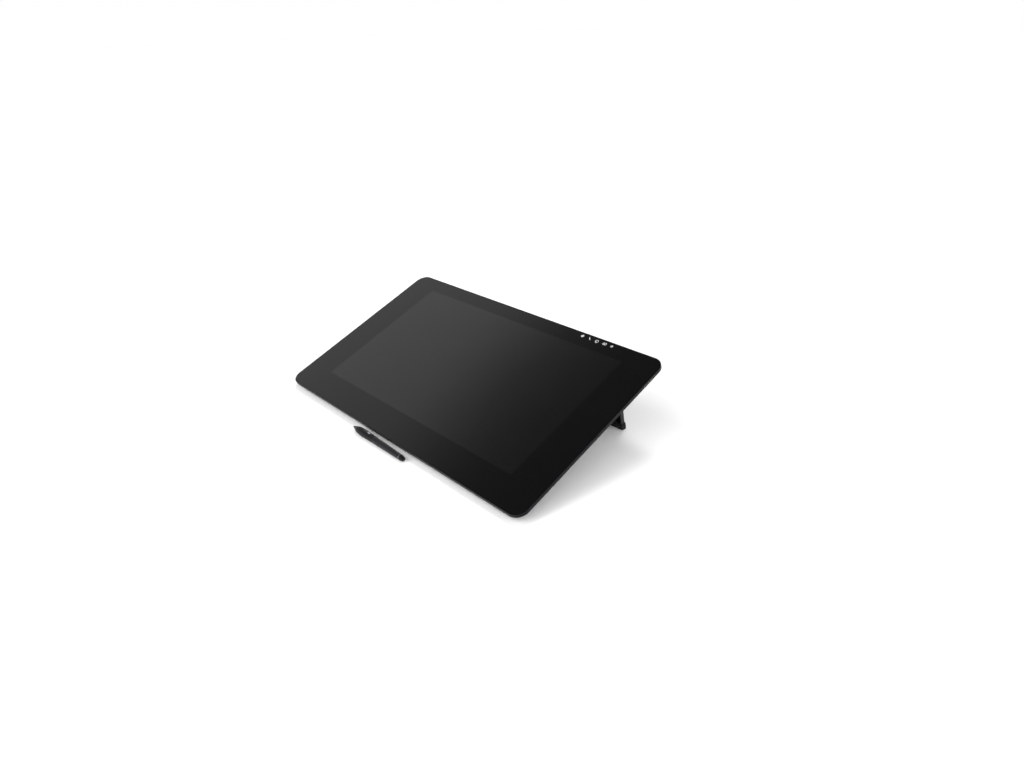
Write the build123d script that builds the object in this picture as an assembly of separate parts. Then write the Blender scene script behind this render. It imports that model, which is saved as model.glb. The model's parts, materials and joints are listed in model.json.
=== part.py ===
"""A pen display: a graphics tablet with a screen, on two fold-out legs, with its pen.

Everything but the pen is modelled lying flat: X to the right, Y up the screen
from the front edge, Z out of the glass, with the glass front at zero. The
display is then tilted back and stood on the desk at Z zero.
"""
import os
from math import asin, cos, degrees, radians, sin

from build123d import *

# Whole display
body_width = 677.0
body_depth = 394.0
corner_radius = 23.0
tilt_angle = 20.0
right_angle = 90.0
front_edge_height = 15.0
seat_gap = 0.1
running_gap = 0.3
overrun = 4.0

# Glass and the stack bonded to it
glass_thickness = 2.0
side_bezel = 66.0
front_bezel = 52.5
rear_bezel = 28.5
adhesive_thickness = 0.4
cell_thickness = 1.4
film_thickness = 0.6
guide_thickness = 2.5
reflector_thickness = 0.3
tray_floor = 1.0
tray_wall = 1.5
led_bar_depth = 4.0
led_bar_thickness = 0.8
led_length = 6.0
led_count = 24
sensing_board_thickness = 1.0
shield_thickness = 0.4

# Front frame
lip_width = 1.2
lip_drop = 0.35
lip_chamfer = 0.3
frame_depth = 4.0
ledge_width = 5.0

# Chassis
chassis_side_margin = 7.5
chassis_end_margin = 4.5
chassis_thickness = 2.0
chassis_rib_height = 4.0
chassis_rib_width = 2.0
chassis_rib_pitch = 92.0
chassis_corner = 8.0
standoff_length = 5.4
standoff_radius = 3.0

# Rear cover
body_thickness = 43.0
rim_height = 6.5
rim_bevel = 1.0
wall = 3.0
rim_wall = 2.5
shoulder_height = 1.5
shoulder_inset = 4.0
side_shoulder_inset = 6.5
front_slope_run = 76.0
rear_slope_run = 50.0
side_slope_run = 42.0
shoulder_corner = 20.0
plateau_corner = 24.0
roll_share = 0.12
roll_steps = 4

# Vents in the rear cover
slot_width = 2.4
slot_pitch = 5.6
intake_slot_count = 9
intake_slot_length = 44.0
outlet_slot_count = 14
outlet_slot_length = 20.0

# Screws that hold the rear cover
screw_radius = 1.5
screw_head_radius = 3.0
screw_head_height = 1.8
screw_head_clearance = 0.4
screw_boss_radius = 5.0
screw_boss_length = 4.4
screw_web = 2.0
screw_well_wall = 2.4
screw_side_inset = 73.5
screw_inner_share = 0.2068
screw_front_share = 0.2589
screw_rear_inset = 76.0

# Mounting square for an arm or a stand
mount_pitch = 100.0
mount_bay_distance = 68.0
mount_hole_radius = 2.0
insert_radius = 3.0
insert_length = 8.0
mount_boss_radius = 8.0
mount_boss_length = 12.0
mount_recess_size = 128.0
mount_recess_depth = 1.2
mount_recess_corner = 10.0

# Port bay in the back and its sockets
bay_width = 180.0
bay_length = 50.0
bay_rear_inset = 66.0
bay_depth = 16.0
bay_wall = 2.5
bay_corner = 5.0
socket_length = 12.0
socket_wall = 0.5
tongue_thickness = 1.0
port_board_depth = 13.0
board_thickness = 1.6
power_socket_radius = 4.0
power_socket_bore = 3.2
power_pin_radius = 1.0
power_socket_share = -0.36
usb_c_share = -0.16
usb_c_width = 9.0
usb_c_height = 3.3
hdmi_share = 0.06
hdmi_width = 15.0
hdmi_height = 5.6
display_port_share = 0.3
display_port_width = 17.0
display_port_height = 5.9
tongue_share = 0.6

# Edge sockets
edge_socket_width = 13.2
edge_socket_height = 4.2
edge_socket_length = 14.0
edge_socket_depth = 4.7
edge_socket_inset = 42.0
edge_socket_pitch = 18.0
edge_socket_wall = 0.35
edge_tongue_width = 10.4
edge_tongue_thickness = 1.0
edge_tongue_share = 0.65
jack_radius = 2.3
jack_bore = 1.8

# Legs
leg_width = 72.0
leg_side_inset = 95.0
leg_thickness = 9.0
leg_corner = 7.0
leg_open_angle = 82.5
leg_hinge_inset = 67.0
leg_hinge_depth = 36.0
knuckle_radius = 5.5
leg_pin_radius = 2.0
leg_pin_clearance = 0.04
leg_bracket_width = 20.0
leg_bracket_base = 1.5
leg_bracket_base_length = 16.0
leg_notch_clearance = 2.0
leg_side_clearance = 2.0
leg_skin = 2.2
leg_rib_width = 2.0
leg_rib_count = 4
leg_panel_margin = 6.0
leg_panel_depth = 0.6
leg_panel_corner = 4.0
leg_edge_chamfer = 0.8
foot_pad_length = 13.0
foot_pad_wall = 1.0
foot_sole = 4.0
pocket_front_clearance = 7.0
pocket_rear_clearance = 3.5
pocket_top_clearance = 1.0
pocket_wall = 2.5
pocket_corner = 6.0

# Rubber feet on the rear cover
front_foot_width = 60.0
front_foot_depth = 14.0
front_foot_y = 48.0
front_foot_side_inset = 113.5
front_foot_corner = 5.0
rear_foot_radius = 9.0
rear_foot_height = 4.0
rear_foot_leg_distance = 71.5
rear_foot_inset = 76.0
rear_foot_bevel = 1.0

# Blowers
fan_size = 56.0
fan_height = 12.0
fan_side_share = 0.229
fan_depth_share = 0.4315
fan_wall = 1.2
fan_corner = 8.0
rotor_radius = 20.0
rotor_hub_radius = 8.0
rotor_height = 7.0
rotor_disc = 1.2
rotor_clearance = 2.5
blade_count = 11
blade_thickness = 1.0
blade_sweep = 25.0
fan_shaft_radius = 1.0
fan_shaft_clearance = 0.05
fan_inlet_radius = 14.0
rotor_root_share = 0.9

# Circuit boards
main_board_width_share = 0.325
main_board_depth_share = 0.279
main_board_place_share = 0.4822
chip_size = 30.0
power_board_width_share = 0.118
power_board_depth_share = 0.2284
power_board_side_share = 0.347
power_board_place_share = 0.3934
transformer_width = 30.0
transformer_depth = 25.0
transformer_height = 12.0
capacitor_radius = 5.0
capacitor_height = 12.0
sink_width = 70.0
sink_depth = 60.0
sink_base = 1.8
sink_height = 9.8
sink_fin_count = 12
sink_fin_thickness = 0.8

# Touch keys, printed under the glass
touch_board_side_share = 0.2821
touch_board_width = 90.0
touch_board_depth = 10.0
touch_board_thickness = 1.0
touch_board_inset = 11.0

# Power button and touch switch in the rear edge
edge_button_side_inset = 53.5
edge_button_width = 12.0
edge_button_height = 1.7
edge_button_drop = 5.6
edge_button_proud = 0.8
edge_button_travel = 0.5
edge_slide_distance = 30.0
edge_slide_width = 7.0
edge_slide_travel = 4.0
edge_slide_grips = 3
flange_overlap = 2.0
flange_thickness = 1.5
edge_control_gap = 0.12
switch_board_width = 62.0
switch_board_depth = 9.0
switch_board_thickness = 0.6
ledge_bite = 0.6

# Pen, measured along its axis from the tip
pen_length = 157.0
pen_tip_x = -87.0
pen_y = -12.5
nib_radius = 0.8
nib_clearance = 0.2
nib_round_share = 0.7
nib_travel = 0.4
cone_start = 3.0
grip_start = 16.0
grip_widest = 31.0
grip_end = 66.0
tail_start = 146.0
cone_tip_radius = 1.9
grip_start_radius = 6.0
grip_radius = 7.5
grip_end_radius = 6.7
tail_radius = 5.3
sleeve_thickness = 1.3
coil_start = 24.0
coil_length = 10.0
coil_outer_radius = 3.2
core_radius = 2.0
coil_clearance = 0.05
cavity_start = 44.0
cavity_radius = 4.5
sensor_length = 6.0
tail_wall = 2.0
pen_board_width = 7.4
pen_board_length = 80.0
eraser_travel = 0.6
eraser_middle_radius = 4.7
eraser_stem_radius = 2.0
rocker_centre = 46.0
rocker_length = 22.0
rocker_width = 4.4
rocker_proud = 0.8
rocker_depth = 2.0
rocker_axle_depth = 1.6
rocker_clearance = 0.3
rocker_pin_radius = 0.5
rocker_pin_reach = 0.8
rocker_pin_clearance = 0.05
rocker_angle = 3.0

# Places across the body that keep with its two main sizes
screen_width = body_width - side_bezel * 2
screen_depth = body_depth - front_bezel - rear_bezel
screen_y = front_bezel + screen_depth / 2
chassis_width = screen_width + chassis_side_margin * 2
chassis_depth = screen_depth + chassis_end_margin * 2
screw_x_outer = body_width / 2 - screw_side_inset
screw_x_inner = body_width * screw_inner_share
screw_y_front = body_depth * screw_front_share
screw_y_rear = body_depth - screw_rear_inset
bay_rear_y = body_depth - bay_rear_inset
bay_front_y = bay_rear_y - bay_length
mount_centre_y = bay_front_y - mount_bay_distance
edge_socket_upper_y = body_depth - edge_socket_inset
leg_centre_x = body_width / 2 - leg_side_inset
leg_hinge_y = body_depth - leg_hinge_inset
front_foot_x = body_width / 2 - front_foot_side_inset
rear_foot_x = leg_centre_x - rear_foot_leg_distance
rear_foot_y = body_depth - rear_foot_inset
fan_x = body_width * fan_side_share
fan_y = body_depth * fan_depth_share
main_board_width = body_width * main_board_width_share
main_board_depth = body_depth * main_board_depth_share
main_board_y = body_depth * main_board_place_share
power_board_width = body_width * power_board_width_share
power_board_depth = body_depth * power_board_depth_share
power_board_x = body_width * power_board_side_share
power_board_y = body_depth * power_board_place_share
touch_board_x = body_width * touch_board_side_share
edge_button_x = body_width / 2 - edge_button_side_inset
edge_slide_x = edge_button_x - edge_slide_distance

# Heights in the flat frame, worked out from the sizes above
glass_back = -glass_thickness
adhesive_back = glass_back - adhesive_thickness
cell_back = adhesive_back - cell_thickness
film_back = cell_back - film_thickness
guide_back = film_back - guide_thickness
reflector_back = guide_back - reflector_thickness
tray_back = reflector_back - tray_floor
sensing_back = tray_back - sensing_board_thickness
shield_back = sensing_back - shield_thickness
chassis_back = shield_back - chassis_thickness
board_top = chassis_back - standoff_length
board_back = board_top - board_thickness
screw_seat = chassis_back - screw_boss_length
screw_head_seat = screw_seat - screw_web
frame_back = -frame_depth
plateau = -body_thickness
cover_floor = plateau + wall
bay_roof = plateau + bay_depth
port_board_top = bay_roof + running_gap
leg_hinge_z = -leg_hinge_depth
pocket_roof = leg_hinge_z + knuckle_radius + pocket_top_clearance
edge_socket_z = -edge_socket_depth
edge_button_z = -edge_button_drop
port_board_y = bay_rear_y + bay_wall + seat_gap + port_board_depth / 2
leg_lean = radians(tilt_angle + leg_open_angle - right_angle)
tilt = radians(tilt_angle)
leg_hinge_height = leg_hinge_y * sin(tilt) + leg_hinge_z * cos(tilt) + front_edge_height
leg_reach = leg_hinge_height / cos(leg_lean)
pocket_front_y = leg_hinge_y - leg_reach - pocket_front_clearance
pocket_rear_y = leg_hinge_y + knuckle_radius + pocket_rear_clearance
plateau_front_inset = shoulder_inset + front_slope_run
plateau_rear_inset = shoulder_inset + rear_slope_run
plateau_side_inset = side_shoulder_inset + side_slope_run
shoulder_z = -(rim_height + rim_bevel + shoulder_height)
nib_reach = cavity_start - nib_travel * 2
eraser_gap = eraser_travel + nib_clearance
rocker_floor_gap = rocker_length / 2 * sin(radians(rocker_angle)) + rocker_clearance
screw_corners = [
    (screw_x_outer, screw_y_front), (screw_x_inner, screw_y_front), (screw_x_inner, screw_y_rear)]
screw_places = [(side * x, y) for side in (-1, 1) for x, y in screw_corners]

# The display is tilted about its front edge and stands on the desk
stand_up = Pos(0, 0, front_edge_height) * Rot(tilt_angle, 0, 0)
lay_down = stand_up.inverse()


def slab(width, depth, low, high, corner=0, x=0, y=0):
    """A flat plate between two heights, with rounded corners if they are given."""
    outline = RectangleRounded(width, depth, corner) if corner else Rectangle(width, depth)
    return Pos(x, y, low) * extrude(outline, amount=high - low)


def disc(radius, low, high, x=0, y=0):
    """An upright cylinder between two heights."""
    return Pos(x, y, (low + high) / 2) * Cylinder(radius, high - low)


def desk_block():
    """The space under the desk, in the flat frame."""
    return lay_down * Pos(0, 0, -body_depth / 2) * Box(body_width * 2, body_depth * 4, body_depth)


def stage(front, rear, side, height, corner):
    """One rounded outline of the housing, drawn in from its three kinds of edge."""
    depth = body_depth - front - rear
    outline = RectangleRounded(body_width - side * 2, depth, corner)
    return Pos(0, front + depth / 2, height) * outline


def housing_outside():
    """An upright rim, a rolled shoulder and four slopes that roll over into a flat plateau."""
    stages = [
        stage(0, 0, 0, frame_back, corner_radius),
        stage(0, 0, 0, -rim_height, corner_radius),
        stage(rim_bevel, rim_bevel, rim_bevel, -rim_height - rim_bevel, corner_radius - rim_bevel),
        stage(shoulder_inset, shoulder_inset, side_shoulder_inset, shoulder_z, shoulder_corner),
    ]
    for step in range(roll_steps + 1):
        stages.append(rolled_stage(step / roll_steps))
    return loft(stages, ruled=True)


def rolled_stage(turn_share):
    """One outline of the roll from slope to plateau, on a parabola that is tangent to both."""
    run_share = 1 - roll_share + roll_share * 2 * turn_share
    rise_share = 1 - roll_share * (1 - turn_share) ** 2
    height = shoulder_z + (plateau - shoulder_z) * rise_share
    front = shoulder_inset + front_slope_run * run_share
    rear = shoulder_inset + rear_slope_run * run_share
    side = side_shoulder_inset + side_slope_run * run_share
    return stage(front, rear, side, height, plateau_corner)


def housing_inside():
    """The hollow of the same form: the slopes raised by the wall, the rim drawn in."""
    inner_corner = corner_radius - rim_wall
    raised = shoulder_z + wall
    return loft([
        stage(rim_wall, rim_wall, rim_wall, frame_back, inner_corner),
        stage(rim_wall, rim_wall, rim_wall, raised + rim_bevel / 2, inner_corner),
        stage(shoulder_inset, shoulder_inset, side_shoulder_inset, raised, shoulder_corner),
        stage(plateau_front_inset, plateau_rear_inset, plateau_side_inset, cover_floor, plateau_corner),
    ], ruled=True)


def cover_glass():
    inset = (lip_width + seat_gap) * 2
    corner = corner_radius - lip_width - seat_gap
    return slab(body_width - inset, body_depth - inset, glass_back, 0, corner, y=body_depth / 2)


def screen_layer(low, high, margin=0):
    """One sheet of the screen stack, drawn in from the bonded area by a margin."""
    return slab(screen_width - margin * 2, screen_depth - margin * 2, low, high, y=screen_y)


def backlight_tray():
    outer = screen_layer(tray_back, cell_back, -tray_wall)
    return outer - screen_layer(reflector_back, cell_back + overrun, -seat_gap)


def light_guide():
    strip = led_bar_depth + running_gap
    guide = screen_layer(guide_back, film_back)
    return guide - slab(
        screen_width, strip * 2, guide_back - overrun, 0, y=screen_y - screen_depth / 2)


def led_bar():
    """A narrow board along the front edge of the light guide, with its row of lamps."""
    front = screen_y - screen_depth / 2
    board = slab(
        screen_width, led_bar_thickness, guide_back, film_back, y=front + led_bar_thickness / 2)
    depth = led_bar_depth - led_bar_thickness
    pitch = screen_width / led_count
    lamp_height = guide_thickness / 2
    lamp_y = front + led_bar_thickness + depth / 2
    for index in range(led_count):
        x = (index + 1 / 2) * pitch - screen_width / 2
        board += slab(led_length, depth, guide_back, guide_back + lamp_height, x=x, y=lamp_y)
    return board


def touch_key_board():
    y = body_depth - touch_board_inset
    low = glass_back - touch_board_thickness
    return slab(touch_board_width, touch_board_depth, low, glass_back, x=touch_board_x, y=y)


def edge_socket_places():
    """Side, Y of each USB socket in the two upright edges."""
    lower_y = edge_socket_upper_y - edge_socket_pitch
    return [(side, y) for side in (-1, 1) for y in (edge_socket_upper_y, lower_y)]


def edge_socket_block(side, y, spare, length):
    """The outer block of an edge socket, with some spare all round."""
    block = Box(length, edge_socket_width + spare * 2, edge_socket_height + spare * 2)
    return Pos(side * (body_width - length) / 2, y, edge_socket_z) * block


def jack_place(length):
    """The headphone jack lies below the left sockets, along X."""
    y = edge_socket_upper_y - edge_socket_pitch * 2
    return Pos((length - body_width) / 2, y, edge_socket_z) * Rot(0, 90, 0)


def edge_cuts():
    """The openings that the edge sockets pass through, in frame and cover alike."""
    length = edge_socket_length + seat_gap
    cuts = []
    for side, y in edge_socket_places():
        cuts.append(edge_socket_block(side, y, seat_gap, length))
        cuts.append(Pos(side * overrun, 0, 0) * edge_socket_block(side, y, seat_gap, overrun * 2))
    cuts.append(jack_place(length) * Cylinder(jack_radius + seat_gap, length))
    cuts.append(jack_place(0) * Cylinder(jack_radius + seat_gap, overrun))
    return cuts


def front_frame():
    """A thin ring: a lip round the glass and a ledge under its rim."""
    rim = slab(body_width, body_depth, frame_back, -lip_drop, corner_radius, y=body_depth / 2)
    rim = chamfer(rim.edges().group_by(Axis.Z)[-1], lip_chamfer)
    lip = lip_width * 2
    seat = slab(
        body_width - lip, body_depth - lip, glass_back, overrun, corner_radius - lip_width, y=body_depth / 2)
    ledge = ledge_width * 2
    window = slab(
        body_width - ledge, body_depth - ledge, frame_back - overrun, overrun, corner_radius - ledge_width,
        y=body_depth / 2)
    return rim - seat - window - edge_cuts()


def chassis():
    """A stiff plate with ribs, bosses for the cover screws and posts for the boards."""
    plate = slab(chassis_width, chassis_depth, chassis_back, shield_back, chassis_corner, y=screen_y)
    rib_low = chassis_back - chassis_rib_height
    rib_length = chassis_width - chassis_corner * 2
    for step in (-1, 0, 1):
        y = screen_y + step * chassis_rib_pitch
        plate += slab(rib_length, chassis_rib_width, rib_low, chassis_back, y=y)
    side_reach = chassis_width / 2 - chassis_corner
    for side in (-1, 1):
        plate += slab(chassis_rib_width, chassis_depth - chassis_corner * 2, rib_low, chassis_back,
                      x=side * side_reach, y=screen_y)
    for x, y in board_posts():
        plate += disc(standoff_radius, board_top, chassis_back, x, y)
    for x in (-port_post_x(), port_post_x()):
        plate += disc(standoff_radius, port_board_top, chassis_back, x, port_board_y)
    for x, y in screw_places:
        plate += disc(screw_boss_radius, screw_seat, chassis_back, x, y)
    for x, y in screw_places:
        plate -= disc(screw_radius + seat_gap / 2, screw_seat - overrun, shield_back, x, y)
    return plate


def board_posts():
    """Posts under the four corners of the main board and of the power board."""
    posts = []
    boards = ((0, main_board_y, main_board_width, main_board_depth),
              (-power_board_x, power_board_y, power_board_width, power_board_depth))
    for x, y, width, depth in boards:
        reach_x = width / 2 - standoff_radius
        reach_y = depth / 2 - standoff_radius
        posts += [(x + across * reach_x, y + along * reach_y) for across in (-1, 1) for along in (-1, 1)]
    return posts


def port_post_x():
    return bay_width / 2 - standoff_radius - bay_corner


def leg_pocket(side, spare):
    """The hollow that a folded leg lies in, or with spare all round, the block that holds it."""
    width = leg_width + (leg_side_clearance + spare) * 2
    length = pocket_rear_y - pocket_front_y + spare * 2
    y = (pocket_rear_y + pocket_front_y) / 2
    x = side * leg_centre_x
    return slab(width, length, plateau - overrun, pocket_roof + spare, pocket_corner + spare, x, y)


def port_bay(spare):
    """The sunk bay that the cables plug into, or with spare all round, the block that holds it."""
    width = bay_width + spare * 2
    y = bay_front_y + bay_length / 2
    return slab(width, bay_length + spare * 2, plateau - overrun, bay_roof + spare, bay_corner + spare, y=y)


def mount_places():
    half = mount_pitch / 2
    return [(x, mount_centre_y + y) for x in (-half, half) for y in (-half, half)]


def vent_slots():
    """Inlet slots under each blower and outlet slots down the rear slope behind it."""
    outlet_y = body_depth - shoulder_inset - rear_slope_run / 2
    slots = []
    for side in (-1, 1):
        for count, length, y in ((intake_slot_count, intake_slot_length, fan_y),
                                 (outlet_slot_count, outlet_slot_length, outlet_y)):
            for index in range(count):
                x = side * fan_x + (index - (count - 1) / 2) * slot_pitch
                slots.append(slab(slot_width, length, plateau - overrun, shoulder_z, slot_width / 3, x, y))
    return slots


def edge_control_cuts():
    """The slots that the button and the slide switch come through, with room for their flanges."""
    cuts = []
    low = edge_button_z - edge_button_height / 2 - edge_control_gap
    high = edge_button_z + edge_button_height / 2 + edge_control_gap
    room = flange_thickness + edge_button_travel + edge_control_gap * 3
    inner = body_depth - rim_wall
    controls = ((edge_button_x, edge_button_width), (edge_slide_x, edge_slide_width + edge_slide_travel))
    for x, width in controls:
        reach = width + edge_control_gap * 2
        cuts.append(slab(reach, rim_wall * 2 + overrun, low, high, x=x, y=body_depth))
        cuts.append(slab(reach + flange_overlap * 2, room, low, high, x=x, y=inner - room / 2))
    return cuts


def socket_shapes():
    """Name, X share of the bay, width and height of each socket in the port bay."""
    return [
        ("usb_c_socket", usb_c_share, usb_c_width, usb_c_height),
        ("hdmi_socket", hdmi_share, hdmi_width, hdmi_height),
        ("display_port_socket", display_port_share, display_port_width, display_port_height),
    ]


def power_socket_place(length):
    """The round power socket hangs under the port board, along Y."""
    z = port_board_top - board_thickness - power_socket_radius
    return Pos(power_socket_share * bay_width, bay_rear_y + length / 2, z) * Rot(right_angle, 0, 0)


def socket_block(share, width, height, spare, start, end):
    """A rounded block under the port board, with some spare round its outline."""
    z = port_board_top - board_thickness - height / 2
    outline = RectangleRounded(width + spare * 2, height + spare * 2, height / 3 + spare)
    place = Pos(share * bay_width, bay_rear_y + start, z) * Rot(-right_angle, 0, 0)
    return place * extrude(outline, amount=end - start)


def rear_cover():
    """The moulded back: a tapered shell with leg pockets, port bay, vents and bosses."""
    hollow = housing_inside()
    for side in (-1, 1):
        hollow -= leg_pocket(side, pocket_wall)
    hollow -= port_bay(bay_wall)
    well_radius = screw_head_radius + screw_head_clearance
    for x, y in screw_places:
        hollow -= disc(well_radius + screw_well_wall, plateau, screw_seat, x, y)
    for x, y in mount_places():
        hollow -= disc(mount_boss_radius, plateau, plateau + mount_boss_length, x, y)
    shell = housing_outside() - hollow
    shell -= [leg_pocket(side, 0) for side in (-1, 1)]
    shell -= port_bay(0)
    shell -= [disc(well_radius, plateau - overrun, screw_head_seat, x, y) for x, y in screw_places]
    shell -= [disc(screw_radius + seat_gap, plateau, screw_seat + overrun, x, y) for x, y in screw_places]
    recess = slab(mount_recess_size, mount_recess_size, plateau - overrun, plateau + mount_recess_depth,
                  mount_recess_corner, y=mount_centre_y)
    for x, y in mount_places():
        recess -= disc(mount_boss_radius, plateau - overrun * 2, plateau + overrun, x, y)
    shell -= recess
    for x, y in mount_places():
        shell -= disc(insert_radius, plateau - overrun, plateau + insert_length, x, y)
    shell -= vent_slots()
    shell -= edge_cuts()
    shell -= edge_control_cuts()
    for name, share, width, height in socket_shapes():
        shell -= socket_block(share, width, height, seat_gap, -overrun, bay_wall + overrun)
    shell -= power_socket_place(bay_wall) * Cylinder(power_socket_radius + seat_gap, bay_wall + overrun)
    return shell


def mount_inserts():
    """Four brass sleeves that take the screws of an arm or a stand."""
    sleeves = []
    top = plateau + insert_length
    for x, y in mount_places():
        sleeve = disc(insert_radius, plateau, top, x, y)
        sleeves.append(sleeve - disc(mount_hole_radius, plateau - overrun, top + overrun, x, y))
    return Compound(sleeves)


def cover_screws():
    """Cap screws, sunk in their wells, with a hexagon in each head."""
    screws = []
    for x, y in screw_places:
        low = screw_head_seat - screw_head_height
        screw = disc(screw_head_radius, low, screw_head_seat, x, y)
        screw += disc(screw_radius, screw_head_seat, chassis_back, x, y)
        drive = extrude(RegularPolygon(screw_radius, side_count=6), amount=screw_head_height / 2)
        screws.append(screw - Pos(x, y, low) * drive)
    return Compound(screws)


def front_feet():
    """Two rubber bars on the front slope, cut flat where they stand."""
    feet = []
    below = desk_block()
    cover = housing_outside()
    for side in (-1, 1):
        x = side * front_foot_x
        bar = slab(front_foot_width, front_foot_depth, plateau, 0, front_foot_corner, x, front_foot_y)
        feet.append((bar - cover - below).solids().sort_by(Axis.Z)[0])
    return Compound(feet)


def rear_feet():
    """Two round rubber feet for the display with its legs folded."""
    feet = []
    for side in (-1, 1):
        foot = disc(rear_foot_radius, plateau - rear_foot_height, plateau, side * rear_foot_x, rear_foot_y)
        feet.append(chamfer(foot.edges().group_by(Axis.Z)[0], rear_foot_bevel))
    return Compound(feet)


def edge_socket(side, y):
    """A USB socket: a thin steel shell with a flat tongue, open to the side."""
    outer = edge_socket_block(side, y, 0, edge_socket_length)
    shrink = edge_socket_wall * 2
    bore = Box(edge_socket_length, edge_socket_width - shrink, edge_socket_height - shrink)
    middle = side * (body_width - edge_socket_length) / 2
    shell = outer - Pos(middle + side * edge_socket_wall, y, edge_socket_z) * bore
    tongue_length = edge_socket_length * edge_tongue_share
    tongue = Box(tongue_length, edge_tongue_width, edge_tongue_thickness)
    inner_end = side * (body_width / 2 - edge_socket_length)
    rise = (edge_socket_height - edge_tongue_thickness) / 4
    return shell + Pos(inner_end + side * tongue_length / 2, y, edge_socket_z + rise) * tongue


def headphone_jack():
    barrel = jack_place(edge_socket_length) * Cylinder(jack_radius, edge_socket_length)
    bore_length = edge_socket_length - edge_socket_wall
    return barrel - jack_place(bore_length) * Cylinder(jack_bore, bore_length)


def port_board():
    low = port_board_top - board_thickness
    return slab(bay_width - bay_corner * 2, port_board_depth, low, port_board_top, y=port_board_y)


def port_socket(share, width, height):
    """A flat socket: a steel shell with a tongue in the middle, open to the bay."""
    shell = socket_block(share, width, height, 0, 0, socket_length)
    shrink = socket_wall * 2
    bore = socket_block(share, width - shrink, height - shrink, 0, -overrun, socket_length - socket_wall)
    bore = Pos(0, 0, -socket_wall) * bore
    z = port_board_top - board_thickness - height / 2
    tongue = Box(width * tongue_share, socket_length * tongue_share, tongue_thickness)
    back = bay_rear_y + socket_length - socket_length * tongue_share / 2
    return shell - bore + Pos(share * bay_width, back, z) * tongue


def power_socket():
    body = power_socket_place(socket_length) * Cylinder(power_socket_radius, socket_length)
    body -= power_socket_place(socket_length - socket_wall * 2) * Cylinder(power_socket_bore, socket_length)
    return body + power_socket_place(socket_length) * Cylinder(power_pin_radius, socket_length - socket_wall)


def main_board():
    """The board that drives the screen, with its processor underneath."""
    board = slab(main_board_width, main_board_depth, board_back, board_top, y=main_board_y)
    return board + slab(chip_size, chip_size, board_back - board_thickness, board_back, y=main_board_y)


def power_board():
    """The power board with its transformer and a row of capacitors."""
    middle = -power_board_x
    board = slab(power_board_width, power_board_depth, board_back, board_top, x=middle, y=power_board_y)
    board += slab(transformer_width, transformer_depth, board_back - transformer_height, board_back,
                  x=middle, y=power_board_y + transformer_depth)
    y = power_board_y - transformer_depth
    for step in (-1, 0, 1):
        x = middle + step * capacitor_radius * 3
        board += disc(capacitor_radius, board_back - capacitor_height, board_back, x, y)
    return board


def heat_sink():
    """A finned block on the processor."""
    high = board_back - board_thickness
    sink = slab(sink_width, sink_depth, high - sink_base, high, y=main_board_y)
    pitch = (sink_width - sink_fin_thickness) / (sink_fin_count - 1)
    for index in range(sink_fin_count):
        x = index * pitch - (sink_width - sink_fin_thickness) / 2
        low = high - sink_height
        sink += slab(sink_fin_thickness, sink_depth, low, high - sink_base, x=x, y=main_board_y)
    return sink


def fan_housing(side):
    """A flat box with a round inlet below, a fixed shaft and an outlet to the rear."""
    x = side * fan_x
    top = cover_floor + fan_height
    low = cover_floor + fan_wall
    high = top - fan_wall
    box = slab(fan_size, fan_size, cover_floor, top, fan_corner, x, fan_y)
    box -= disc(rotor_radius + rotor_clearance, low, high, x, fan_y)
    box -= slab(rotor_radius * 2, fan_size, low, high, x=x, y=fan_y + fan_size / 2)
    box -= disc(fan_inlet_radius, cover_floor - overrun, low + overrun, x, fan_y)
    return box + disc(fan_shaft_radius, low, high, x, fan_y)


def fan_rotor(side):
    """A hub and a disc with blades swept back from the turning."""
    x = side * fan_x
    middle = cover_floor + fan_height / 2
    low = middle - rotor_height / 2
    high = middle + rotor_height / 2
    rotor = disc(rotor_radius, high - rotor_disc, high) + disc(rotor_hub_radius, low, high)
    blade_length = rotor_radius - rotor_hub_radius
    blade = slab(blade_length, blade_thickness, low, high, x=blade_length / 2)
    blade = Pos(rotor_hub_radius * rotor_root_share, 0, 0) * Rot(0, 0, blade_sweep) * blade
    for index in range(blade_count):
        rotor += Rot(0, 0, right_angle * 4 * index / blade_count) * blade
    rotor -= disc(fan_shaft_radius + fan_shaft_clearance, low - overrun, high + overrun)
    return Pos(x, fan_y, 0) * rotor


def edge_button():
    """The power button: a low bar on a flange that keeps it in its slot."""
    flange_face = body_depth - rim_wall - edge_control_gap
    return edge_control(edge_button_x, edge_button_width, flange_face)


def edge_control(x, width, flange_face):
    low = edge_button_z - edge_button_height / 2
    high = edge_button_z + edge_button_height / 2
    tip = body_depth + edge_button_proud
    bar = slab(width, tip - flange_face, low, high, x=x, y=(tip + flange_face) / 2)
    bar = fillet(bar.edges().group_by(Axis.Y)[-1], edge_button_height / 4)
    flange = slab(width + flange_overlap * 2 - edge_control_gap, flange_thickness, low, high, x=x,
                  y=flange_face - flange_thickness / 2)
    return bar + flange


def touch_switch():
    """The slide switch that turns touch off, with grip ridges across its face."""
    x = edge_slide_x - edge_slide_travel / 2
    knob = edge_control(x, edge_slide_width, body_depth - rim_wall - edge_control_gap)
    pitch = edge_slide_width / (edge_slide_grips + 1)
    groove = pitch / 3
    for index in range(edge_slide_grips):
        place = x + (index - (edge_slide_grips - 1) / 2) * pitch
        cut_y = body_depth + edge_button_proud
        knob -= slab(groove, groove, plateau, 0, x=place, y=cut_y)
    return knob


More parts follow.
